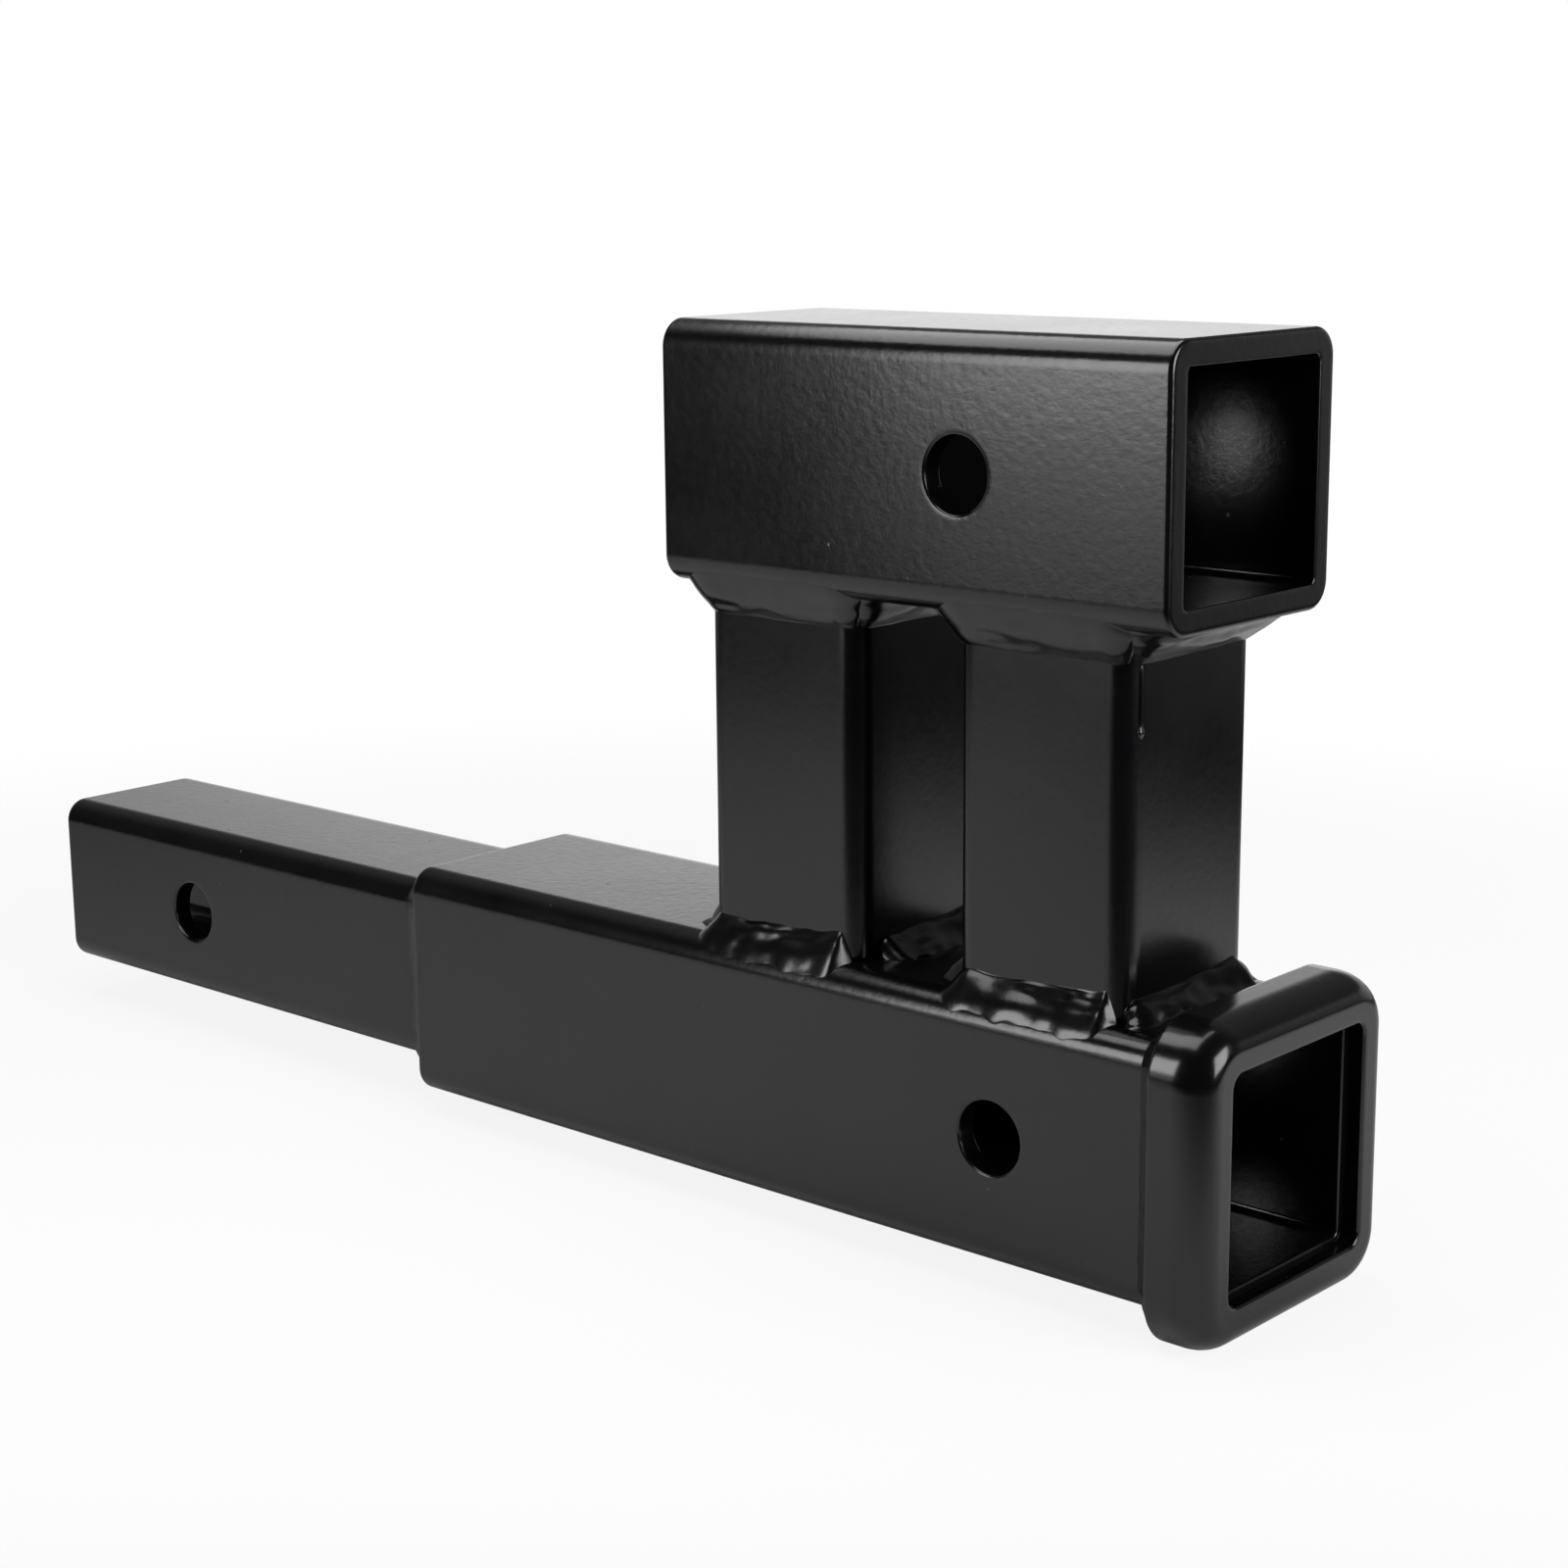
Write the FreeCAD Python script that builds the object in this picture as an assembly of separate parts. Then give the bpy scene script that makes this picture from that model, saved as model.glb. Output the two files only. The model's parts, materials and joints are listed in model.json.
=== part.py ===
import FreeCAD, Part
import math
import os
from FreeCAD import Placement, Rotation, Vector

# Dual hitch adapter: a square shank that slides into a vehicle's receiver, welded into a lower receiver
# tube with a reinforcing collar, and an upper receiver tube carried above it on two welded posts.
# Millimetres. The origin is the centre of the shank's pin hole, +X runs to the receiver mouths, +Z is up.

# Square tube stock
shank_size = 50.8
shank_wall = 6.0
shank_corner = 6.4
receiver_wall = 6.0
receiver_corner = 6.8
receiver_inner_corner = 1.5
post_size = 49.0
post_wall = 5.0
post_corner = 5.5

# Lengths along X
shank_pin_setback = 63.5
shank_reach = 109.0
shank_engagement = 89.0
lower_length = 264.0
lower_pin_setback = 63.5
upper_mouth_setback = 16.5
upper_length = 148.0
upper_pin_setback = 57.5
mouth_post_setback = 38.8
post_spacing = 78.0

# Height between the two receiver axes
receiver_rise = 152.4

# Pin holes
pin_hole = 17.8
hole_bevel = 0.6

# Collar round the lower mouth
collar_length = 15.5
collar_wall = 6.2
collar_lip = 5.0
collar_corner = 13.5
collar_round = 6.6
collar_back_bevel = 0.4
mouth_relief = 1.25
mouth_corner = 3.5

# Fits between the pieces
slip_clearance = 0.35
collar_clearance = 0.15

# Bevels on the sawn tube ends, outside and inside
outer_bevel = 1.0
inner_bevel = 0.7

# Weld beads: reach is the leg on the tube they lie on, rise is the leg off it, up a post or a step
lower_weld_rise = 6.5
upper_weld_rise = 7.5
weld_reach = 8.0
long_weld_reach = 11.0
flank_share = 0.8
weld_crown = 1.0
crown_facets = 3
ripple_pitch = 12.0
ripple_depth = 0.09
nose_length = 4.5
nose_taper = 0.4
shank_weld_reach = 10.0
shank_weld_rise = 5.3
collar_weld_reach = 6.0
collar_weld_rise = 5.9
ring_weld_edge = 0.3

# How far cutting shapes run past the faces they cut
overrun = 1.0
bead_bite = 0.4

# Sizes that follow from the ones above
receiver_inside = shank_size + 2 * slip_clearance
receiver_size = receiver_inside + 2 * receiver_wall
collar_seat = receiver_size + 2 * collar_clearance
collar_size = collar_seat + 2 * collar_wall
mouth_size = receiver_inside + 2 * mouth_relief

# Places along X
shank_end = -shank_pin_setback
lower_rear = shank_reach
shank_inner_end = lower_rear + shank_engagement
lower_mouth = lower_rear + lower_length
lower_tube_end = lower_mouth - collar_lip
lower_pin = lower_mouth - lower_pin_setback
collar_back = lower_mouth - collar_length
shank_weld_toe = lower_rear - shank_weld_reach
collar_weld_toe = collar_back - collar_weld_reach
upper_mouth = lower_mouth - upper_mouth_setback
upper_rear = upper_mouth - upper_length
upper_pin = upper_mouth - upper_pin_setback
mouth_post_x = upper_mouth - mouth_post_setback
shank_post_x = mouth_post_x - post_spacing

# Places along Z
lower_top = receiver_size / 2
upper_bottom = receiver_rise - receiver_size / 2


def outline(size, corner):
    """Closed outline of a square with round corners, centred on the origin of the XY plane."""
    straight = size / 2 - corner
    centre = Vector(straight, straight, 0)
    edges = []
    for quarter in range(4):
        turn = Rotation(Vector(0, 0, 1), 90 * quarter)
        start = turn.multVec(centre + Vector(corner, 0, 0))
        middle = turn.multVec(centre + Vector(corner, corner, 0) * math.sqrt(0.5))
        end = turn.multVec(centre + Vector(0, corner, 0))
        side_end = turn.multVec(Vector(-straight, size / 2, 0))
        edges.append(Part.Arc(start, middle, end).toShape())
        edges.append(Part.makeLine(end, side_end))
    return Part.Wire(edges)


def along_x(shape, x):
    """Turn a shape drawn along +Z so that it lies along +X, starting at x."""
    shape.Placement = Placement(Vector(x, 0, 0), Rotation(Vector(0, 1, 0), 90))
    return shape


def bar(size, corner, low, high):
    """Solid square bar along the X axis, from low to high."""
    return along_x(Part.Face(outline(size, corner)).extrude(Vector(0, 0, high - low)), low)


def upright(size, corner, x, low, high):
    """Solid square bar along Z, standing on the mid-plane at x, from low to high."""
    post = Part.Face(outline(size, corner)).extrude(Vector(0, 0, high - low))
    post.translate(Vector(x, 0, low))
    return post


def rim(shape, x, nearest, farthest):
    """Edges in the plane at x whose middle lies between two distances from the X axis, measured square."""
    found = []
    for edge in shape.Edges:
        box = edge.BoundBox
        flat = abs(box.XMin - x) < 0.001 and abs(box.XMax - x) < 0.001
        middle = edge.valueAt((edge.FirstParameter + edge.LastParameter) / 2)
        if flat and nearest < max(abs(middle.y), abs(middle.z)) < farthest:
            found.append(edge)
    return found


def bevel_end(tube, x, size, wall):
    """Bevel the outer and the inner edges of a sawn tube end."""
    middle_of_wall = size / 2 - wall / 2
    tube = tube.makeChamfer(outer_bevel, rim(tube, x, middle_of_wall, size))
    return tube.makeChamfer(inner_bevel, rim(tube, x, 0, middle_of_wall))


def pin_holes(tube, x, size):
    """Drill both side walls for the hitch pin and break the outer edges of the holes."""
    drill_length = size + 2 * overrun
    drill = Part.makeCylinder(pin_hole / 2, drill_length, Vector(x, -drill_length / 2, 0), Vector(0, 1, 0))
    tube = tube.cut(drill)
    edges = []
    for edge in tube.Edges:
        round_edge = isinstance(edge.Curve, Part.Circle) and abs(edge.Curve.Radius - pin_hole / 2) < 0.001
        if round_edge and abs(abs(edge.Curve.Center.y) - size / 2) < 0.001:
            edges.append(edge)
    return tube.makeChamfer(hole_bevel, edges)


def shank_tube():
    """Hollow shank, open at both ends, with its inner end hidden inside the lower receiver."""
    inside = shank_size - 2 * shank_wall
    inner_corner = max(shank_corner - shank_wall / 2, 1.0)
    tube = bar(shank_size, shank_corner, shank_end, shank_inner_end)
    tube = tube.cut(bar(inside, inner_corner, shank_end - overrun, shank_inner_end + overrun))
    tube = bevel_end(tube, shank_end, shank_size, shank_wall)
    return pin_holes(tube, 0, shank_size)


def receiver_tube(rear, front, pin, open_front):
    """Receiver tube on the X axis; a front end inside the collar keeps its square edges."""
    tube = bar(receiver_size, receiver_corner, rear, front)
    tube = tube.cut(bar(receiver_inside, receiver_inner_corner, rear - overrun, front + overrun))
    tube = bevel_end(tube, rear, receiver_size, receiver_wall)
    if open_front:
        tube = bevel_end(tube, front, receiver_size, receiver_wall)
    return pin_holes(tube, pin, receiver_size)


def lower_receiver_tube():
    """Lower receiver, from the shank's step to its seat behind the collar's lip."""
    return receiver_tube(lower_rear, lower_tube_end, lower_pin, False)


def upper_receiver_tube():
    """Upper receiver, a shorter length of the same tube, open at both ends."""
    tube = receiver_tube(upper_rear, upper_mouth, upper_pin, True)
    tube.translate(Vector(0, 0, receiver_rise))
    return tube


def lower_receiver_collar():
    """Rounded ring that seats over the lower tube's end and stops it with an inner lip."""
    ring = bar(collar_size, collar_corner, collar_back, lower_mouth)
    ring = ring.makeFillet(collar_round, rim(ring, lower_mouth, 0, collar_size))
    ring = ring.makeChamfer(collar_back_bevel, rim(ring, collar_back, 0, collar_size))
    seat_corner = receiver_corner + collar_clearance
    ring = ring.cut(bar(collar_seat, seat_corner, collar_back - overrun, lower_tube_end))
    ring = ring.cut(bar(mouth_size, mouth_corner, collar_back - overrun, lower_mouth + overrun))
    return ring.makeChamfer(inner_bevel, rim(ring, lower_mouth, 0, mouth_size / 2 + inner_bevel))


def post(x):
    """Square post tube between the two receivers."""
    tube = upright(post_size, post_corner, x, lower_top, upper_bottom)
    inside = post_size - 2 * post_wall
    inner_corner = max(post_corner - post_wall / 2, 1.0)
    return tube.cut(upright(inside, inner_corner, x, lower_top - overrun, upper_bottom + overrun))


def ring_weld(size, corner, foot, toe, rise):
    """Fillet weld all round a square tube: rise is its leg off the tube at the foot, thinning to the toe."""
    foot_outline = along_x(outline(size + 2 * rise, corner + rise), foot)
    toe_outline = along_x(outline(size + 2 * ring_weld_edge, corner + ring_weld_edge), toe)
    ring = Part.makeLoft([foot_outline, toe_outline], True, True)
    return ring.cut(bar(size, corner, min(foot, toe) - overrun, max(foot, toe) + overrun))


def bead_section(along, scale, rise, toe_out, toe_down, back):
    """Corners of a bead's section across its run: a crowned face from the post down to its toe on the tube.

    Local axes: X out of the post's face, Y along the run, Z up the post from the tube's flat.
    The section shrinks towards the corner between post and tube; back is how far it reaches
    behind the post's face to fill the post's round corners.
    """
    face = post_size / 2
    head = Vector(face, along, scale * rise)
    toe = Vector(face + scale * toe_out, along, -scale * (toe_down + bead_bite))
    chord = toe - head
    outward = Vector(-chord.z, 0, chord.x).normalize() * (scale * weld_crown)
    points = [head]
    for facet in range(1, crown_facets):
        share = facet / crown_facets
        points.append(head + chord * share + outward * (4 * share * (1 - share)))
    points.append(toe)
    points.append(Vector(toe.x, along, -receiver_corner))
    points.append(Vector(face - back, along, -receiver_corner))
    if back > 0:
        points.append(Vector(face - back, along, scale * rise))
    return points


def flat_face(corners):
    """Flat face inside a closed polygon."""
    return Part.Face(Part.makePolygon(corners + corners[:1]))


def skinned(sections):
    """Solid between matching polygons, with a flat face across each pair of matching sides."""
    faces = [flat_face(sections[0]), flat_face(sections[-1])]
    for near, far in zip(sections, sections[1:]):
        for index in range(len(near)):
            after = (index + 1) % len(near)
            faces.append(flat_face([near[index], near[after], far[after], far[index]]))
    solid = Part.makeSolid(Part.makeShell(faces))
    if solid.Volume < 0:
        solid.reverse()
    return solid


def rippled_run(half_length, nose, rise, toe_out, toe_down, back):
    """One weld run, a chain of ripples along the post's face that tapers to a nose past each end."""
    ripples = max(2, round(2 * half_length / ripple_pitch))
    step = half_length / ripples
    places = []
    for index in range(2 * ripples + 1):
        crest = index % 2
        places.append((-half_length + index * step, 1.0 if crest else 1.0 - ripple_depth))
    if nose > 0:
        places.insert(0, (-half_length - nose, nose_taper))
        places.append((half_length + nose, nose_taper))
    return skinned([bead_section(along, scale, rise, toe_out, toe_down, back) for along, scale in places])


def flank_run(rise):
    """Run along a post's front or back face, where the bead rolls over the tube's round corner."""
    face = post_size / 2
    toe_out = flank_share * (receiver_size / 2 - face)
    past_flat = max(face + toe_out - (receiver_size / 2 - receiver_corner), 0.0)
    toe_down = receiver_corner - math.sqrt(receiver_corner ** 2 - past_flat ** 2)
    return rippled_run(face, nose_length, rise, toe_out, toe_down, 0.0)


def end_run(rise, reach):
    """Run along a post's face that looks along the tube, where the bead lies on the tube's flat."""
    return rippled_run(post_size / 2, 0.0, rise, reach, 0.0, post_corner)


def post_welds(name, x, outer_turn, reaches):
    """The runs round both ends of one post, seated against the post and the tube it stands on."""
    core = upright(post_size, post_corner, x, lower_top, upper_bottom)
    lower_bar = bar(receiver_size, receiver_corner, lower_rear, lower_mouth)
    upper_bar = bar(receiver_size, receiver_corner, upper_rear, upper_mouth)
    upper_bar.translate(Vector(0, 0, receiver_rise))
    levels = (
        ("lower", lower_top, 0, lower_weld_rise, lower_bar),
        ("upper", upper_bottom, 180, upper_weld_rise, upper_bar),
    )
    runs = {}
    for level, z, flip, rise, tube in levels:
        sides = (
            ("front", 270, flank_run(rise)),
            ("back", 90, flank_run(rise)),
            ("outer", outer_turn, end_run(rise, reaches[level])),
            ("inner", outer_turn + 180, end_run(rise, weld_reach)),
        )
        for side, turn, run in sides:
            run.rotate(Vector(0, 0, 0), Vector(1, 0, 0), flip)
            run.rotate(Vector(0, 0, 0), Vector(0, 0, 1), turn)
            run.translate(Vector(x, 0, z))
            runs[f"{name}_{level}_{side}_weld"] = run.cut(core).cut(tube)
    return runs


# Outer runs take the reach that the tube leaves them beyond the post
post_half = post_size / 2
shank_post_overhang = shank_post_x - post_half - upper_rear - outer_bevel
mouth_post_overhang = upper_mouth - mouth_post_x - post_half - outer_bevel
collar_room = collar_weld_toe - mouth_post_x - post_half - overrun
shank_post_reaches = {"lower": weld_reach, "upper": min(weld_reach, shank_post_overhang)}
mouth_post_reaches = {
    "lower": min(long_weld_reach, collar_room),
    "upper": min(long_weld_reach, mouth_post_overhang),
}

pieces = {
    "shank_tube": shank_tube(),
    "lower_receiver_tube": lower_receiver_tube(),
    "lower_receiver_collar": lower_receiver_collar(),
    "upper_receiver_tube": upper_receiver_tube(),
    "shank_post": post(shank_post_x),
    "mouth_post": post(mouth_post_x),
    "shank_weld": ring_weld(shank_size, shank_corner, lower_rear, shank_weld_toe, shank_weld_rise),
    "collar_weld": ring_weld(receiver_size, receiver_corner, collar_back, collar_weld_toe, collar_weld_rise),
}
pieces.update(post_welds("shank_post", shank_post_x, 180, shank_post_reaches))
pieces.update(post_welds("mouth_post", mouth_post_x, 0, mouth_post_reaches))

os.makedirs("parts", exist_ok=True)
for name, shape in pieces.items():
    shape.exportStep(f"parts/{name}.step")
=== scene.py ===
import json
import math
from dataclasses import dataclass

import bmesh
import bpy
import numpy as np
from mathutils import Matrix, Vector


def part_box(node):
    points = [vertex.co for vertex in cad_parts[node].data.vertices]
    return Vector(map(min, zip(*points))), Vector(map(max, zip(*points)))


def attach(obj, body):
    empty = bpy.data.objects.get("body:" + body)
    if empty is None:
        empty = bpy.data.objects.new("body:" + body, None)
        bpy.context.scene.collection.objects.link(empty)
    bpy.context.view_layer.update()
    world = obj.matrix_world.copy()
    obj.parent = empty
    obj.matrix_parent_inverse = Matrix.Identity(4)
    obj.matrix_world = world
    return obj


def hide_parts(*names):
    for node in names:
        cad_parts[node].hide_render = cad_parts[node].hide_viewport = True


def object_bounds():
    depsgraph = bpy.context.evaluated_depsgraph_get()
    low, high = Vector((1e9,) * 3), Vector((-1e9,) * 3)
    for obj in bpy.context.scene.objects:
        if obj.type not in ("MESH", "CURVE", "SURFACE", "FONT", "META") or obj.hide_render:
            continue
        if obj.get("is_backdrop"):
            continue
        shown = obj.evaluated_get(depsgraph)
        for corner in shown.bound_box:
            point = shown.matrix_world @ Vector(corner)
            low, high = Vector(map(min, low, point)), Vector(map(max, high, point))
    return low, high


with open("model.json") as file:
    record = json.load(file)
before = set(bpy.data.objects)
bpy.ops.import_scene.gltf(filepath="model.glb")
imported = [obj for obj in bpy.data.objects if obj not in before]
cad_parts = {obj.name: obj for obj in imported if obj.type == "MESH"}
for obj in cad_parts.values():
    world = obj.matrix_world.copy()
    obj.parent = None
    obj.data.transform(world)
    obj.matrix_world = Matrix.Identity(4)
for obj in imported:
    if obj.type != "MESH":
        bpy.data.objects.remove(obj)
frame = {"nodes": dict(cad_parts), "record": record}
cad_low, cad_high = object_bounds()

# Dual hitch adapter in black paint: three square tubes, two posts, a mouth collar and their weld beads.
# Metres, in the frame of the solids: +X to the mouths, +Z up, the photographed side at -Y.

MM = 0.001
boxes = {name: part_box(name) for name in frame["nodes"]}
mounts = {mount["name"]: mount for mount in frame["record"]["mounts"]}

# Tube stock, read from the solids where a box gives it
shank_half = boxes["shank_tube"][1].y
receiver_half = boxes["lower_receiver_tube"][1].y
post_half = boxes["mouth_post"][1].y
collar_half = boxes["lower_receiver_collar"][1].y
upper_axis = mounts["upper_receiver_pin_hole"]["pos_m"][2]
hole_radius = mounts["shank_pin_hole"]["dims"]["r_mm"] * MM
shank_wall, receiver_wall, post_wall = 6.0 * MM, 6.0 * MM, 5.0 * MM
shank_corner, receiver_corner, post_corner = 6.4 * MM, 6.8 * MM, 5.5 * MM
shank_bore_corner, receiver_bore_corner, post_bore_corner = 3.4 * MM, 1.5 * MM, 3.0 * MM

# Edges softened by the paint, and the flat margin and the mesh window round a pin hole
end_round = 1.1 * MM
bore_round = 0.5 * MM
hole_round = 0.7 * MM
hole_margin = 1.6 * MM
hole_window = hole_radius + 2.2 * hole_margin

# Collar
collar_corner = 13.5 * MM
collar_round = 6.6 * MM
collar_round_length = 9.3 * MM
collar_back_round = 0.6 * MM
mouth_half = 27.0 * MM
mouth_corner = 3.5 * MM
mouth_round = 0.9 * MM
seat_half = 31.9 * MM
seat_corner = 6.95 * MM

# Mesh fineness
arc_steps = 14
round_steps = 5
window_steps = 14
window_share = 0.55
plain_wall_steps = 12
drilled_wall_steps = 10
end_face_steps = 6
support = 0.5 * MM
collar_side_steps = 13
ring_section_steps = 14
ring_side_steps = 41
bead_rows = 200
bead_columns = 26

# Weld beads
lower_wraps = {"front": (60, 35), "back": (60, 35), "outer": (50, 35), "inner": (-20, 35)}
upper_wraps = {"front": (80, 80), "back": (80, 80), "outer": (60, 60), "inner": (60, 60)}
start_nose = 4.5 * MM
stop_nose = 3.0 * MM
stop_crest = 0.5 * MM
bead_blobs = 110
blob_size = 1.4 * MM
rise_wave = 22.0 * MM
reach_wave = 18.0 * MM
wave_octaves = 3
flank_reach = 6.3 * MM
bead_bury = 0.5 * MM
ring_bury = 0.4 * MM


class Skin:
    """Points and four-sided faces of one piece, gathered from whole grids of points."""

    def __init__(self):
        self.points = np.zeros((0, 3))
        self.faces = np.zeros((0, 4), int)

    def add(self, grid):
        """Keep a grid of points (rows, columns, 3) and give back their numbers in the same layout."""
        first = len(self.points)
        self.points = np.vstack([self.points, grid.reshape(-1, 3)])
        return first + np.arange(grid.shape[0] * grid.shape[1]).reshape(grid.shape[:2])

    def cover(self, numbers, ring_rows=False, ring_columns=False, keep=None):
        """Faces between neighbours in a grid of numbers; a ring joins its last line to its first."""
        if ring_rows:
            numbers = np.vstack([numbers, numbers[:1]])
        if ring_columns:
            numbers = np.hstack([numbers, numbers[:, :1]])
        corners = (numbers[:-1, :-1], numbers[1:, :-1], numbers[1:, 1:], numbers[:-1, 1:])
        quads = np.stack(corners, axis=-1)
        quads = quads.reshape(-1, 4) if keep is None else quads[keep]
        self.faces = np.vstack([self.faces, quads])

    def piece(self, name, material, nodes):
        """Closed smooth mesh, faces outwards, that rides on the body and stands for its CAD nodes."""
        mesh = bpy.data.meshes.new(name)
        mesh.from_pydata(self.points.tolist(), [], self.faces.tolist())
        shell = bmesh.new()
        shell.from_mesh(mesh)
        bmesh.ops.remove_doubles(shell, verts=shell.verts, dist=1e-7)
        bmesh.ops.recalc_face_normals(shell, faces=shell.faces)
        shell.to_mesh(mesh)
        shell.free()
        mesh.shade_smooth()
        mesh.materials.append(material)
        thing = bpy.data.objects.new(name, mesh)
        bpy.context.collection.objects.link(thing)
        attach(thing, "root")
        if nodes:
            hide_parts(*nodes)
        return thing


class Square:
    """Columns round a square with round corners: four quarter arcs, each with the points of a side."""

    def __init__(self, side):
        turn = np.linspace(0, math.pi / 2, arc_steps + 1)
        arc, flat = np.ones_like(turn), np.zeros_like(side)
        self.arc_count, self.side_count = len(turn), len(side)
        self.place = np.tile(np.concatenate([arc, side]), 4)
        self.out_u = np.tile(np.concatenate([np.cos(turn), flat]), 4)
        self.out_v = np.tile(np.concatenate([np.sin(turn), flat + 1]), 4)
        self.spin = np.repeat(np.arange(4), len(turn) + len(side)) * math.pi / 2

    def loops(self, half, corner):
        """Places (u, v) of every column on squares of the given half widths and corner radii, one a row.

        In a quarter, u = p (h - r) + r cos t and v = (h - r) + r sin t, with p = 1 on the arc and
        t = 90 degrees on the side; each quarter is the last one turned by 90 degrees.
        """
        straight = half - corner
        u = straight * self.place + corner * self.out_u
        v = straight + corner * self.out_v
        cos, sin = np.cos(self.spin), np.sin(self.spin)
        return u * cos - v * sin, u * sin + v * cos

    def side_columns(self, quarter, first, last):
        """Numbers of the columns from one point of a side to another, both counted along the side."""
        start = quarter * (self.arc_count + self.side_count) + self.arc_count
        return np.arange(start + first, start + last + 1)


def eased(start, end, steps):
    """Places from start to end with one close to either end, so that a flat stays flat beside a round."""
    near = math.copysign(min(support, abs(end - start) / 4), end - start)
    return np.concatenate([[start], np.linspace(start + near, end - near, steps), [end]])


def quarter_turn(steps):
    return np.linspace(0, math.pi / 2, steps + 1)


def end_profile(x, way, half, corner, bore_half, bore_corner):
    """Rows over a sawn tube end, from the outside in: round edge, flat end face, round bore edge.

    An edge of radius e turns by t: inset e (1 - cos t) from the outside and e (1 - sin t) from the end.
    """
    t = quarter_turn(round_steps)
    outer = end_round * (1 - np.cos(t))
    inner = bore_round * (1 - np.sin(t))
    face = np.linspace(half - end_round, bore_half + bore_round, end_face_steps)[1:-1]
    share = (half - end_round - face) / (half - end_round - bore_half - bore_round)
    face_corner = (1 - share) * (corner - end_round) + share * (bore_corner + bore_round)
    places = np.concatenate([
        x - way * end_round * (1 - np.sin(t)),
        np.full_like(face, x),
        x - way * bore_round * (1 - np.cos(t))])
    halves = np.concatenate([half - outer, face, bore_half + inner])
    corners = np.concatenate([corner - outer, face_corner, bore_corner + inner])
    return places, halves, corners


def wall_places(start, end, hole):
    """Rows along a wall, with an even run of rows across the window round a pin hole."""
    if hole is None:
        return eased(start, end, plain_wall_steps)
    return np.concatenate([
        eased(start, hole - hole_window, drilled_wall_steps)[:-1],
        np.linspace(hole - hole_window, hole + hole_window, window_steps + 1),
        eased(hole + hole_window, end, drilled_wall_steps)[1:]])


def window_loop(numbers, points, centre):
    """Numbers round the border of a window, in order of their angle about the hole's axis."""
    border = np.concatenate([numbers[0], numbers[1:, -1], numbers[-1, :-1], numbers[1:-1, 0]])
    offset = points[border] - centre
    angle = np.arctan2(offset[:, 2], offset[:, 0])
    order = np.argsort(angle)
    return border[order], angle[order]


def drill(skin, outside, inside, centre, outer_y, inner_y):
    """Line a pin hole from the outer window to the inner one: flat margin, round edge, bore, and back.

    Each ring is a circle about the hole, its angles eased from the outer window's to the inner window's.
    """
    outer_loop, outer_angle = window_loop(outside, skin.points, centre)
    inner_loop, inner_angle = window_loop(inside, skin.points, centre)
    t = quarter_turn(round_steps)
    rise = hole_round * (1 - np.sin(t))
    dip = hole_round * (1 - np.cos(t))
    depth = abs(outer_y - inner_y)
    radius = np.concatenate([[hole_margin], rise, [0, 0], rise[::-1], [hole_margin]]) + hole_radius
    deep = np.concatenate([[0], dip, [0.4 * depth, 0.6 * depth], depth - dip[::-1], [depth]])
    share = (deep / depth)[:, None]
    angle = (1 - share) * outer_angle + share * inner_angle
    y = np.broadcast_to(outer_y + (inner_y - outer_y) * share, angle.shape)
    rings = np.stack([
        centre[0] + radius[:, None] * np.cos(angle),
        y,
        centre[2] + radius[:, None] * np.sin(angle)], axis=-1)
    rows = skin.add(rings)
    skin.cover(np.vstack([outer_loop, rows, inner_loop]), ring_columns=True)


def tube(name, ends, half, corner, wall, bore_corner, material, axis="x", place=(0, 0, 0), hole=None):
    """Square tube along X or Z, with a pin hole through both sides where one is given.

    It is a closed band of round-cornered squares, which runs along the outer wall, over one sawn end,
    back along the bore and over the other end.
    """
    rear, front = ends
    bore_half = half - wall
    side_end = 1 - support / (half - corner)
    window_side = np.linspace(window_share, -window_share, window_steps + 1)
    square = Square(np.concatenate([[side_end], window_side, [-side_end]]))
    outer = wall_places(rear + end_round, front - end_round, hole)
    inner = wall_places(rear + bore_round, front - bore_round, hole)[::-1]
    front_end = end_profile(front, 1, half, corner, bore_half, bore_corner)
    rear_end = end_profile(rear, -1, half, corner, bore_half, bore_corner)
    along = np.concatenate([outer, front_end[0][1:-1], inner, rear_end[0][-2:0:-1]])
    halves = np.concatenate([
        np.full_like(outer, half), front_end[1][1:-1],
        np.full_like(inner, bore_half), rear_end[1][-2:0:-1]])
    corners = np.concatenate([
        np.full_like(outer, corner), front_end[2][1:-1],
        np.full_like(inner, bore_corner), rear_end[2][-2:0:-1]])
    u, v = square.loops(halves[:, None], corners[:, None])
    lengthwise = np.broadcast_to(along[:, None], u.shape)
    layers = (lengthwise, u, v) if axis == "x" else (u, v, lengthwise)
    skin = Skin()
    numbers = skin.add(np.stack(layers, axis=-1) + np.array(place))
    keep = np.ones((len(along), len(square.place)), bool)
    windows = []
    if hole is not None:
        first_inner = len(outer) + len(front_end[0]) - 2
        for start, rows, depth in ((0, outer, half), (first_inner, inner, bore_half)):
            inside = start + np.flatnonzero(np.abs(rows - hole) < hole_window + 1e-9)
            for quarter, way in ((1, -1), (3, 1)):
                columns = square.side_columns(quarter, 1, window_steps + 1)
                keep[np.ix_(inside[:-1], columns[:-1])] = False
                windows.append((way, numbers[np.ix_(inside, columns)], way * depth))
    skin.cover(numbers, ring_rows=True, ring_columns=True, keep=keep)
    for way in (-1, 1) if windows else ():
        outside, inside = [window for window in windows if window[0] == way]
        centre = np.array([hole, 0, place[2]])
        drill(skin, outside[1], inside[1], centre, outside[2], inside[2])
    return skin.piece(name, material, [name])


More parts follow.
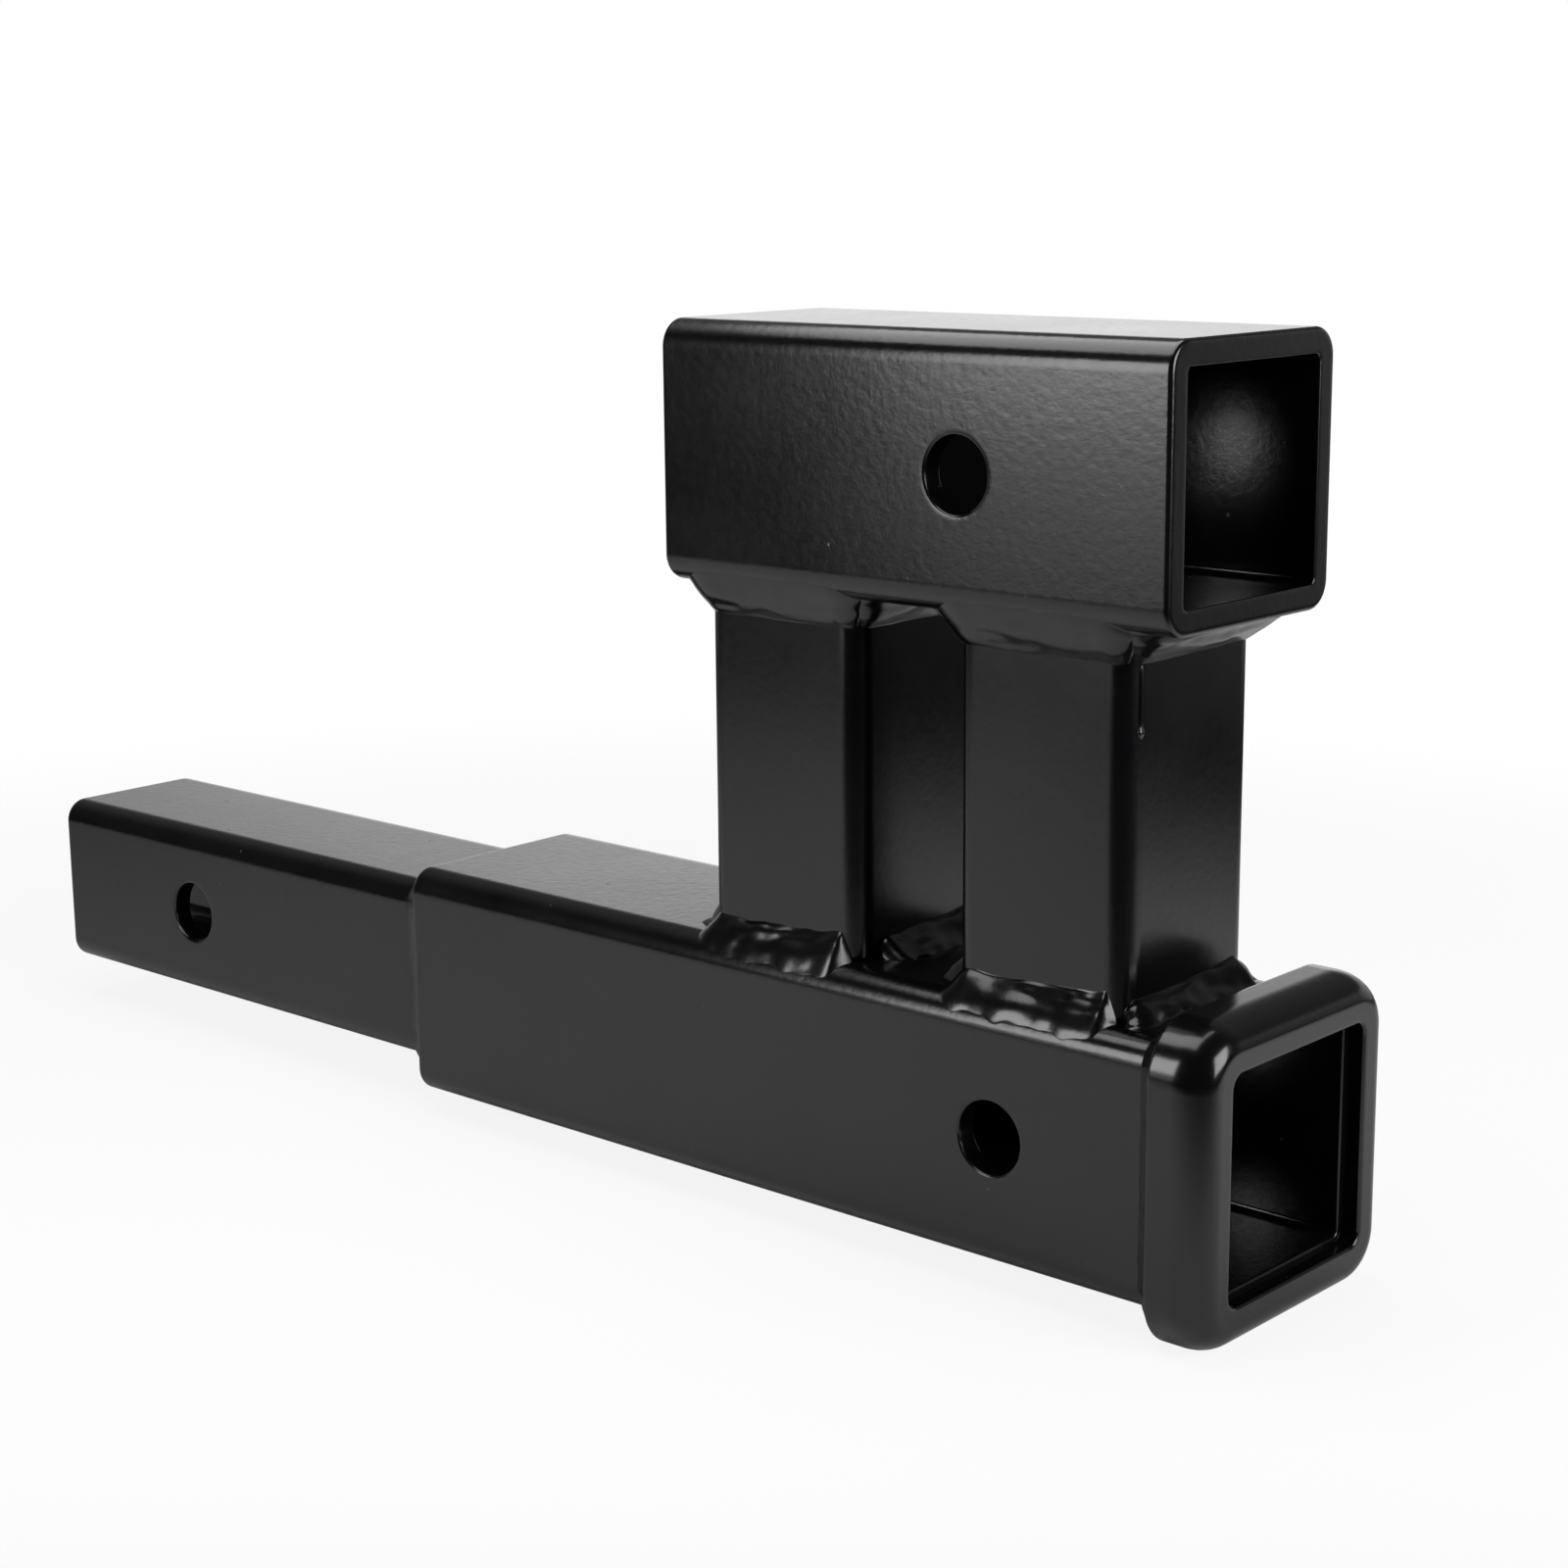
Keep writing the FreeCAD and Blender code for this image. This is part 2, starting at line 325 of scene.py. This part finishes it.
def collar(name, material):
    """Mouth collar: a closed band from the back face over the outside, the large front round, the flat
    rim, the mouth's edge, the lip and the seat on the tube."""
    low, high = boxes[name]
    back, front = low.x, high.x
    lip = boxes["lower_receiver_tube"][1].x
    t = quarter_turn(round_steps)
    big = quarter_turn(4 * round_steps)
    rows = []

    def run(x, half, corner):
        rows.append(np.stack(np.broadcast_arrays(x, half, corner), axis=-1).reshape(-1, 3))

    inset = collar_back_round * (1 - np.cos(t))
    run(back + collar_back_round * (1 - np.sin(t)), collar_half - inset, collar_corner)
    rows[-1] = rows[-1][::-1]
    run(eased(back + collar_back_round, front - collar_round_length, 4)[1:-1], collar_half, collar_corner)
    inset = collar_round * (1 - np.cos(big))
    run(front - collar_round_length * (1 - np.sin(big)), collar_half - inset, collar_corner - inset)
    rim = eased(collar_half - collar_round, mouth_half + mouth_round, 3)[1:-1]
    share = (collar_half - collar_round - rim) / (collar_half - collar_round - mouth_half - mouth_round)
    run(front, rim, (1 - share) * (collar_corner - collar_round) + share * (mouth_corner + mouth_round))
    inset = mouth_round * (1 - np.sin(t))
    run(front - mouth_round * (1 - np.cos(t)), mouth_half + inset, mouth_corner + inset)
    run(np.array([lip + support, lip]), mouth_half, mouth_corner)
    run(np.array([lip, lip - support]), seat_half, seat_corner)
    run(np.array([back + support, back]), seat_half, seat_corner)
    x, half, corner = np.vstack(rows).T
    side_end = 1 - support / (collar_half - collar_corner)
    square = Square(np.concatenate([[side_end], np.linspace(0.9, -0.9, collar_side_steps), [-side_end]]))
    u, v = square.loops(half[:, None], corner[:, None])
    skin = Skin()
    numbers = skin.add(np.stack([np.broadcast_to(x[:, None], u.shape), u, v], axis=-1))
    skin.cover(numbers, ring_rows=True, ring_columns=True)
    return skin.piece(name, material, [name])


def waves(place, rng, longest, count):
    """Smooth irregular wave of about unit height: ever shorter sines with drawn phases and weights."""
    total = np.zeros_like(place)
    for octave in range(count):
        length = longest / 1.7 ** octave
        weight = rng.uniform(0.5, 1.0) / 1.35 ** octave
        total = total + weight * np.sin(2 * math.pi * (place / length + rng.uniform()))
    return total / 1.6


def ring_weld(name, tube_half, tube_corner, step_half, step_corner, fullness, sway, seed, material):
    """Bead all round a tube, from its toe on the tube to its foot on the step.

    Off the tube it is rise sin^p t and along the tube reach cos^p t, and both legs sway a little round
    the square with drawn waves.
    """
    low, high = boxes[name]
    foot, reach, rise = high.x, high.x - low.x, step_half - tube_half
    side_end = 1 - support / (tube_half - tube_corner)
    square = Square(np.concatenate([[side_end], np.linspace(0.95, -0.95, ring_side_steps), [-side_end]]))
    rng = np.random.default_rng(seed)
    t = quarter_turn(ring_section_steps)[:, None]
    u, v = square.loops(np.array([[tube_half]]), np.array([[tube_corner]]))
    steps = np.hypot(np.diff(u[0], append=u[0, 0]), np.diff(v[0], append=v[0, 0]))
    round_share = np.cumsum(steps) / steps.sum() * 2 * math.pi
    swell = np.zeros_like(round_share)
    for turns in (3, 5, 8, 13):
        weight = rng.uniform(0.3, 1.0)
        phase = rng.uniform(0, 6.3)
        swell = swell + weight * np.sin(turns * round_share + phase) / turns ** 0.5
    rise_share = np.sin(t) ** fullness
    off = rise * rise_share * (1 + sway * swell * (1 - rise_share))
    along = foot - reach * (0.96 + sway * swell) * np.cos(t) ** fullness
    buried = np.full_like(off[:1], -ring_bury)
    off = np.vstack([buried, off, buried])
    along = np.vstack([along[:1], along, np.full_like(buried, foot + ring_bury)])
    along[-2] = foot + ring_bury
    u, v = square.loops(tube_half + off, tube_corner + (step_corner - tube_corner) * off / rise)
    skin = Skin()
    numbers = skin.add(np.stack([along, u, v], axis=-1))
    skin.cover(numbers, ring_rows=True, ring_columns=True)
    return skin.piece(name, material, [name])


def tube_drop(y):
    """How far a receiver's surface lies below its flat at a distance y from its middle plane."""
    past = np.clip(np.abs(y) - (receiver_half - receiver_corner), 0, receiver_corner * 0.999)
    return receiver_corner - np.sqrt(receiver_corner ** 2 - past ** 2)


@dataclass
class BeadForm:
    """Section and surface of a weld bead.

    rise is its leg up the post, and climb the share of it that is missing at the start of the run;
    fullness is the power in its section, 1 for a full round and 2 for a flat; lumps is the height of
    its bumps, stretch how far they are drawn out along it, sway how far its two edges wander, and bulb
    the swelling where the run stops.
    """
    rise: float
    climb: float
    fullness: float
    lumps: float
    stretch: float
    sway: float
    bulb: float


def blobs(along, down, rng, depth, stretch):
    """Soft bumps and dents at drawn places on a bead's face, each falling off as exp(-distance^2)."""
    total = np.zeros(np.broadcast(along, down).shape)
    for _ in range(bead_blobs):
        share = rng.uniform(0.4, 1.5)
        size = share * blob_size
        far_along = (along - rng.uniform(along.min(), along.max())) / (stretch * size)
        far_down = (down - rng.uniform(0, depth)) / size
        total = total + share * rng.uniform(-1, 1) * np.exp(-far_along ** 2 - far_down ** 2)
    return total


def bead(name, centre, turn, flip, reach, wrap, form, seed, material):
    """Weld bead round one side of a post: a section carried along the post's round-cornered outline.

    Along the outline s runs over the flat and part of the corners on either side. The section's face is
    out = reach sin^p t, up = rise cos^p t, from the post down to the tube, whose own drop is taken off.
    Both legs sway with drawn waves, the rise climbs along the run, and the face between the legs carries
    blobs, which die away into the stop, and a bulb near it. The section shrinks as a dome at the start.
    At the stop the run goes straight on and tapers to a point past a rounded crest: with w the way into
    the stop, by the ramp w + sqrt(w^2 + crest^2).
    """
    rng = np.random.default_rng(seed)
    straight = post_half - post_corner
    start = -straight - math.radians(wrap[0]) * post_corner
    stop = straight + math.radians(wrap[1]) * post_corner
    s = np.linspace(start, stop, bead_rows)[:, None]
    into_stop = s - stop + stop_nose
    past = np.clip(into_stop, 0, None)
    turned = np.clip((np.abs(s - past) - straight) / post_corner, 0, None) * np.sign(s)
    flat = np.clip(s - past, -straight, straight)
    normal_x, normal_y = np.cos(turned), np.sin(turned)
    path_x = straight + post_corner * normal_x - past * normal_y
    path_y = flat + post_corner * normal_y + past * normal_x
    t = quarter_turn(bead_columns)[None, :]
    into_start = np.clip((start + start_nose - s) / start_nose, 0, 1)
    ramp = into_stop + np.sqrt(into_stop ** 2 + stop_crest ** 2)
    dome = np.sqrt(1 - into_start ** 2) * (1 - ramp / ramp.max())
    climbed = 1 - form.climb * (1 - np.clip((s - start) / (stop - stop_nose - start), 0, 1) ** 3)
    depth = math.hypot(form.rise, reach)
    bulb = np.exp(-((s - stop + 1.2 * stop_nose) / stop_nose) ** 2)
    settled = 1 - np.clip(into_stop / stop_nose, 0, 1)
    bumps = blobs(s, depth * t / (math.pi / 2), rng, depth, form.stretch)
    face = form.lumps * settled * bumps + form.bulb * bulb
    rise_here = form.rise * climbed * dome * (1 + form.sway * waves(s, rng, rise_wave, wave_octaves))
    reach_here = reach * dome * (1 + form.sway * waves(s, rng, reach_wave, wave_octaves))
    belly = 1 + face * np.sin(2 * t)
    out = reach_here * np.sin(t) ** form.fullness * belly
    up = rise_here * np.cos(t) ** form.fullness * belly
    bury = bead_bury * dome
    out = np.hstack([-bury, out, reach_here, -bury])
    up = np.hstack([rise_here, up, -bury, -bury])
    x = path_x + normal_x * out
    y = path_y + normal_y * out
    spin = math.radians(turn)
    world_x = x * math.cos(spin) - y * math.sin(spin)
    world_y = x * math.sin(spin) + y * math.cos(spin)
    z = flip * (up - tube_drop(world_y))
    skin = Skin()
    numbers = skin.add(np.stack([centre[0] + world_x, centre[1] + world_y, centre[2] + z], axis=-1))
    skin.cover(numbers, ring_columns=True)
    return skin.piece(name, material, [name])


def paint_run(name, place, length, half_width, proud, material):
    """Run of paint down a face, a slim closed drop half sunk in it.

    With u from 0 at the bottom to 1 at the top, its breadth is (0.5 + 0.5 bulge) sqrt(1 - (2u - 1)^10),
    and the bulge is a bell curve near the bottom.
    """
    u = np.linspace(0, 1, 60)[:, None]
    around = np.linspace(0, 2 * math.pi, 24, endpoint=False)[None, :]
    bulge = np.exp(-((u - 0.09) / 0.06) ** 2)
    breadth = (0.5 + 0.5 * bulge) * np.sqrt(np.clip(1 - (2 * u - 1) ** 10, 0, 1))
    layers = (
        place[0] + proud * breadth * np.cos(around),
        place[1] + half_width * breadth * np.sin(around),
        place[2] + length * np.broadcast_to(u, (u.size, around.size)))
    skin = Skin()
    skin.cover(skin.add(np.stack(layers, axis=-1)), ring_columns=True)
    return skin.piece(name, material, [])


class Value:
    """One shader value: a socket, with arithmetic that adds Math nodes."""

    def __init__(self, nodes, socket):
        self.nodes, self.socket = nodes, socket

    def maths(self, operation, *inputs):
        return self.nodes.node("ShaderNodeMath", {"operation": operation}, dict(enumerate(inputs)))

    def __add__(self, other):
        return self.maths("ADD", self, other)

    def __radd__(self, other):
        return self.maths("ADD", other, self)

    def __sub__(self, other):
        return self.maths("SUBTRACT", self, other)

    def __rsub__(self, other):
        return self.maths("SUBTRACT", other, self)

    def __mul__(self, other):
        return self.maths("MULTIPLY", self, other)

    def __rmul__(self, other):
        return self.maths("MULTIPLY", other, self)


class Nodes:
    """The node tree of a material or of the world."""

    def __init__(self, owner):
        owner.use_nodes = True
        self.tree = owner.node_tree
        self.tree.nodes.clear()

    def node(self, kind, settings, sockets, output=0):
        """Add one node with its settings and a value or link for each socket, and give back an output."""
        made = self.tree.nodes.new(kind)
        for key, value in settings.items():
            setattr(made, key, value)
        for key, value in sockets.items():
            if isinstance(value, Value):
                self.tree.links.new(value.socket, made.inputs[key])
            else:
                made.inputs[key].default_value = value
        return Value(self, made.outputs[output]) if len(made.outputs) else None

    def step(self, value, low, high, start=0.0, end=1.0):
        """Smooth step of a value from start at low to end at high."""
        sockets = {"Value": value, "From Min": low, "From Max": high, "To Min": start, "To Max": end}
        return self.node("ShaderNodeMapRange", {"interpolation_type": "SMOOTHSTEP"}, sockets)

    def noise(self, place, scale, detail=2.0, rough=0.5):
        sockets = {"Vector": place, "Scale": scale, "Detail": detail, "Roughness": rough}
        return self.node("ShaderNodeTexNoise", {}, sockets, "Fac")

    def blend(self, share, first, second):
        """Mix two colours by a share."""
        return self.node("ShaderNodeMix", {"data_type": "RGBA"}, {0: share, 6: first, 7: second}, 2)


# Grain of the paint: features a metre, and the bump that they make
cloud_scale = 38.0
peel_scale = 520.0
streak_scale = 1500.0
streak_shape = (0.4, 1.0, 1.0)
fleck_scale = 210.0
fleck_colour = (0.11, 0.11, 0.11, 1)
bump_strength = 0.35
bump_depth = 0.25 * MM


def paint(name, base, lighter, gloss, peel, streak, flecks):
    """Black paint: cloudy tint, orange peel and short streaks in the bump, sparse pale flecks and pits.

    gloss is the middle roughness, peel and streak are bump heights, and flecks is the share of cells
    with a fleck.
    """
    material = bpy.data.materials.new(name)
    nodes = Nodes(material)
    place = nodes.node("ShaderNodeTexCoord", {}, {}, "Object")
    cloud = nodes.noise(place, cloud_scale, 3.0)
    orange = nodes.noise(place, peel_scale, 2.0, 0.45)
    stretched = nodes.node("ShaderNodeMapping", {}, {"Vector": place, "Scale": streak_shape})
    drawn = nodes.noise(stretched, streak_scale, 3.0, 0.6)
    cells = {"Vector": place, "Scale": fleck_scale, "Randomness": 1.0}
    near = nodes.node("ShaderNodeTexVoronoi", {}, cells, "Distance")
    cell_colour = nodes.node("ShaderNodeTexVoronoi", {}, cells, "Color")
    lot = nodes.node("ShaderNodeSeparateColor", {}, {"Color": cell_colour}, "Red")
    fleck = nodes.step(near, 0.05, 0.13, 1.0, 0.0) * nodes.step(lot, 1 - flecks, 1 - 0.5 * flecks)
    tint = nodes.blend(nodes.step(cloud, 0.35, 0.68), base, lighter)
    colour = nodes.blend(fleck * 0.3, tint, fleck_colour)
    roughness = gloss + 0.05 * (cloud - 0.5) + 0.06 * (orange - 0.5) + 0.2 * fleck
    height = peel * orange + streak * drawn - 0.6 * fleck
    bump = nodes.node("ShaderNodeBump", {}, {
        "Height": height, "Strength": bump_strength, "Distance": bump_depth}, "Normal")
    shader = nodes.node("ShaderNodeBsdfPrincipled", {}, {
        "Base Color": colour, "Roughness": roughness, "IOR": 1.5, "Normal": bump}, "BSDF")
    nodes.node("ShaderNodeOutputMaterial", {}, {"Surface": shader})
    return material


tube_paint = paint(
    "black_tube_paint", (0.0018, 0.0018, 0.0020, 1), (0.0034, 0.0034, 0.0036, 1),
    gloss=0.20, peel=0.38, streak=0.13, flecks=0.05)
post_paint = paint(
    "black_post_paint", (0.0018, 0.0017, 0.0023, 1), (0.0032, 0.0031, 0.0039, 1),
    gloss=0.21, peel=0.2, streak=0.04, flecks=0.03)
collar_paint = paint(
    "black_collar_paint", (0.0018, 0.0018, 0.0018, 1), (0.003, 0.003, 0.003, 1),
    gloss=0.18, peel=0.1, streak=0.0, flecks=0.02)
weld_paint = paint(
    "black_weld_paint", (0.0018, 0.0018, 0.0018, 1), (0.0034, 0.0034, 0.0034, 1),
    gloss=0.19, peel=0.3, streak=0.0, flecks=0.04)

# Tubes and posts
shank_box = boxes["shank_tube"]
lower_box = boxes["lower_receiver_tube"]
upper_box = boxes["upper_receiver_tube"]
tube("shank_tube", (shank_box[0].x, shank_box[1].x), shank_half, shank_corner, shank_wall,
     shank_bore_corner, tube_paint, hole=mounts["shank_pin_hole"]["pos_m"][0])
tube("lower_receiver_tube", (lower_box[0].x, lower_box[1].x), receiver_half, receiver_corner,
     receiver_wall, receiver_bore_corner, tube_paint, hole=mounts["lower_receiver_pin_hole"]["pos_m"][0])
tube("upper_receiver_tube", (upper_box[0].x, upper_box[1].x), receiver_half, receiver_corner,
     receiver_wall, receiver_bore_corner, tube_paint, place=(0, 0, upper_axis),
     hole=mounts["upper_receiver_pin_hole"]["pos_m"][0])
post_x = {name: (boxes[name][0].x + boxes[name][1].x) / 2 for name in ("shank_post", "mouth_post")}
for name, x in post_x.items():
    low, high = boxes[name]
    tube(name, (low.z, high.z), post_half, post_corner, post_wall, post_bore_corner,
         post_paint, axis="z", place=(x, 0, 0))
collar("lower_receiver_collar", collar_paint)

# Ring welds at the shank's step and behind the collar
shank_weld_half = boxes["shank_weld"][1].y
collar_weld_half = boxes["collar_weld"][1].y
shank_weld_corner = shank_corner + shank_weld_half - shank_half
collar_weld_corner = collar_corner + collar_weld_half - collar_half
ring_weld("shank_weld", shank_half, shank_corner, shank_weld_half, shank_weld_corner,
          fullness=1.8, sway=0.05, seed=3, material=weld_paint)
ring_weld("collar_weld", receiver_half, receiver_corner, collar_weld_half, collar_weld_corner,
          fullness=2.0, sway=0.025, seed=4, material=weld_paint)

# Beads round the ends of the posts
lower_level = boxes["mouth_post"][0].z
upper_level = boxes["mouth_post"][1].z
lower_form = BeadForm(
    rise=7.4 * MM, climb=0.3, fullness=1.95, lumps=0.075, stretch=3.0, sway=0.05, bulb=0.03)
upper_form = BeadForm(
    rise=7.6 * MM, climb=0.0, fullness=1.9, lumps=0.04, stretch=5.0, sway=0.015, bulb=0.0)
levels = (
    ("lower", lower_level, 1, lower_form, lower_wraps),
    ("upper", upper_level, -1, upper_form, upper_wraps))
outer_turn = {"shank_post": 180, "mouth_post": 0}
seed = 10
for post_name, x in post_x.items():
    for level, z, flip, form, wraps in levels:
        for side in ("front", "back", "outer", "inner"):
            name = f"{post_name}_{level}_{side}_weld"
            low, high = boxes[name]
            away = outer_turn[post_name] + (180 if side == "inner" else 0)
            turn = {"front": 270, "back": 90}.get(side, away)
            reach = flank_reach
            if side in ("outer", "inner"):
                reach = max(abs(low.x - x), abs(high.x - x)) - post_half
            seed += 1
            bead(name, (x, 0, z), turn, flip, reach, wraps[side], form, seed, weld_paint)

# Run of paint below the upper bead of the mouth post, on the face towards the mouths
run_length = 17.0 * MM
run_sunk = 0.15 * MM
run_y = -20.2 * MM
run_place = (boxes["mouth_post"][1].x - run_sunk, run_y, upper_level - upper_form.rise - run_length)
paint_run("paint_run", run_place, run_length, half_width=1.2 * MM, proud=0.75 * MM, material=collar_paint)

# Floor, matt, white to the camera and fading out into the white surround; its own colour carries a
# painted pool of light and painted shade
floor_z = cad_low.z
floor_radius = 0.9
# Painted pool of light in the floor's colour: its middle and fading edge, and the band before the camera
# where it falls to painted shade
painted_pool_middle = (0.005, -0.12, 0.0)
painted_pool_edge = (0.47, 0.79)
painted_shade_front = (0.20, 0.40)
camera_way = (0.67, -0.74, 0.0)
camera_lift = 0.88
middle = ((cad_low.x + cad_high.x) / 2, (cad_low.y + cad_high.y) / 2)
bpy.ops.mesh.primitive_circle_add(
    vertices=128, radius=floor_radius, fill_type="NGON", location=(*middle, floor_z))
floor = bpy.context.object
floor.name = "floor"
floor_material = bpy.data.materials.new("pale_floor")
nodes = Nodes(floor_material)
place = nodes.node("ShaderNodeTexCoord", {}, {}, "Object")
from_middle = nodes.node("ShaderNodeVectorMath", {"operation": "LENGTH"}, {0: place}, "Value")
camera_ray = nodes.node("ShaderNodeLightPath", {}, {}, "Is Camera Ray")
towards_camera = nodes.node(
    "ShaderNodeVectorMath", {"operation": "DOT_PRODUCT"}, {0: place, 1: camera_way}, "Value")
from_painted_pool = nodes.node(
    "ShaderNodeVectorMath", {"operation": "DISTANCE"}, {0: place, 1: painted_pool_middle}, "Value")
towards_mouths = nodes.node("ShaderNodeSeparateXYZ", {}, {"Vector": place}, "X")
# Painted light in the floor's colour: the paint sees a painted pool of light, stronger towards the
# mouths, and painted shade in the band before the camera
painted_light_pool = nodes.step(from_painted_pool, *painted_pool_edge, 1.0, 0.0) * (0.76 + 0.5 * towards_mouths)
painted_light_pool = painted_light_pool * nodes.step(towards_camera, *painted_shade_front, 1.0, 0.06)
colour = nodes.node("ShaderNodeCombineColor", {}, {"Red": painted_light_pool, "Green": painted_light_pool, "Blue": painted_light_pool})
matt = nodes.node("ShaderNodeBsdfDiffuse", {}, {"Color": colour})
white = nodes.node("ShaderNodeEmission", {}, {"Color": (1, 1, 1, 1), "Strength": 1.0})
clear = nodes.node("ShaderNodeBsdfTransparent", {}, {})
lifted = nodes.node("ShaderNodeMixShader", {}, {0: camera_lift * camera_ray, 1: matt, 2: white})
fade = nodes.step(from_middle, 0.3 * floor_radius, 0.7 * floor_radius) * camera_ray
mixed = nodes.node("ShaderNodeMixShader", {}, {0: fade, 1: lifted, 2: clear})
nodes.node("ShaderNodeOutputMaterial", {}, {"Surface": mixed})
floor.data.materials.append(floor_material)
floor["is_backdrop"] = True

# Surround: white to the camera; to the paint a dark room with a white backdrop low behind the part
backdrop_way = (-0.60, 0.80, 0.0)
backdrop_top = (0.22, 0.40)
room_glow = 0.03
world = bpy.data.worlds.new("studio")
bpy.context.scene.world = world
nodes = Nodes(world)
ray = nodes.node("ShaderNodeTexCoord", {}, {}, "Generated")
height = nodes.node("ShaderNodeSeparateXYZ", {}, {"Vector": ray}, "Z")
behind = nodes.node(
    "ShaderNodeVectorMath", {"operation": "DOT_PRODUCT"}, {0: ray, 1: backdrop_way}, "Value")
# The backdrop has a broad dim spread and a narrow bright middle, and grows brighter upwards to its top
middle_share = 0.45 * nodes.step(behind, 0.1, 0.6) + 0.55 * nodes.step(behind, 0.91, 0.995)
backdrop = middle_share * nodes.step(height, *backdrop_top, 1.0, 0.12)
glow = room_glow + (1.18 + 2.0 * height) * backdrop
camera_ray = nodes.node("ShaderNodeLightPath", {}, {}, "Is Camera Ray")
strength = camera_ray + (1 - camera_ray) * glow
surround = nodes.node("ShaderNodeBackground", {}, {"Color": (1, 1, 1, 1), "Strength": strength})
nodes.node("ShaderNodeOutputWorld", {}, {"Surface": surround})


def standing(right, up, back, place):
    """Matrix of an object whose own axes point along right, up and back."""
    turned = Matrix((right, up, back)).transposed().to_4x4()
    return Matrix.Translation(place) @ turned


def softbox(name, place, aim, width, height, radiance):
    """Area lamp that faces a point, with the power that gives its face the wanted radiance."""
    lamp = bpy.data.lights.new(name, "AREA")
    lamp.shape = "RECTANGLE"
    lamp.size, lamp.size_y = width, height
    lamp.energy = radiance * math.pi * width * height
    holder = bpy.data.objects.new(name, lamp)
    bpy.context.collection.objects.link(holder)
    place, aim = np.array(place), np.array(aim)
    back = (place - aim) / np.linalg.norm(place - aim)
    side = np.cross((0, 0, 1), back) if abs(back[2]) < 0.99 else np.array((1.0, 0, 0))
    side = side / np.linalg.norm(side)
    over = np.cross(back, side)
    holder.matrix_world = standing(side, over, back, place)


softbox("overhead_softbox", (0.10, -0.04, 0.62), (0.10, -0.04, 0),
        width=0.53, height=0.55, radiance=3.6)
softbox("fill_card", (-0.05, -0.6, 0.285), (-0.05, 0, 0.285),
        width=0.26, height=0.33, radiance=7.5)
softbox("fill_card_skirt", (-0.05, -0.6, 0.06), (-0.05, 0, 0.06),
        width=0.26, height=0.10, radiance=1.3)
softbox("side_softbox", (1.09, 0.08, 0.36), (0.37, -0.03, 0.05),
        width=0.52, height=0.50, radiance=7.5)

# Camera at the photograph's viewing angle
view_azimuth = math.radians(42.073)
view_elevation = math.radians(12.291)
view_roll = math.radians(-0.546)
back = np.array([
    math.sin(view_azimuth) * math.cos(view_elevation),
    -math.cos(view_azimuth) * math.cos(view_elevation),
    math.sin(view_elevation)])
right = np.array([math.cos(view_azimuth), math.sin(view_azimuth), 0.0])
up = np.cross(back, right)
side = math.cos(view_roll) * right + math.sin(view_roll) * up
over = -math.sin(view_roll) * right + math.cos(view_roll) * up
camera_place = (0.69979, -0.53322, 0.22226)
lens = bpy.data.cameras.new("camera")
lens.lens = 66.33
lens.sensor_width = 36.0
lens.clip_start = 0.05
camera = bpy.data.objects.new("camera", lens)
bpy.context.collection.objects.link(camera)
camera.matrix_world = standing(side, over, back, camera_place)
bpy.context.scene.camera = camera
bpy.context.scene.view_settings.view_transform = "Standard"

low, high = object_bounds()
